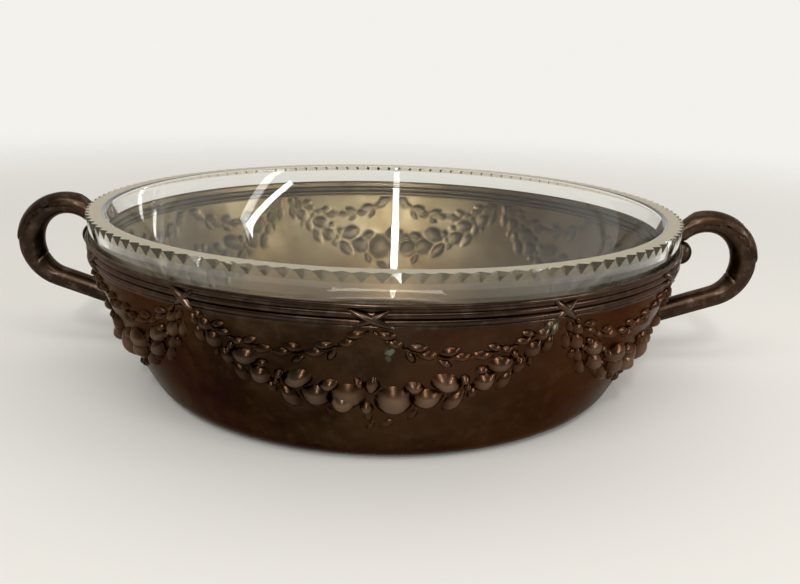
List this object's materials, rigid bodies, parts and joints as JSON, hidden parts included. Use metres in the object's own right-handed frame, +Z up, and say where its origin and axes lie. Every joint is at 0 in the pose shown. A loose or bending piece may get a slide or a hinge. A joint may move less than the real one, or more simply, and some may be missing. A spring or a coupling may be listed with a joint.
{
  "type": "two-handled bowl with glass liner",
  "caption": "Shallow round bowl of patinated brass with fruit garlands in relief, a loop handle on each side and a lift-out glass liner with a notched rim.",
  "frame": {"origin": "centre of the base on the surface the bowl stands on", "axes": "+Z up, handles along X, front towards -Y"},
  "size_m": [0.262, 0.2022, 0.06],
  "materials": {
    "patinated_brass": "dark brown patina, rubbed on the high spots",
    "cut_glass": "clear, polished, with a ground top edge"
  },
  "bodies": {
    "bowl": {"bowl_body": "patinated_brass", "handle_left": "patinated_brass", "handle_right": "patinated_brass", "ribbon_ties": "patinated_brass", "fruit_swag_1": "patinated_brass", "fruit_swag_2": "patinated_brass", "fruit_swag_3": "patinated_brass", "fruit_swag_4": "patinated_brass", "fruit_swag_5": "patinated_brass", "fruit_swag_6": "patinated_brass", "leaf_spray_1": "patinated_brass", "leaf_spray_2": "patinated_brass", "leaf_spray_3": "patinated_brass", "leaf_spray_4": "patinated_brass", "leaf_spray_5": "patinated_brass", "leaf_spray_6": "patinated_brass"},
    "liner": {"glass_liner": "cut_glass"}
  },
  "joints": [
    {"name": "liner_lift", "type": "slide", "parent": "bowl", "child": "liner", "axis": [0, 0, 1], "range_m": [0, 0.075]}
  ]
}
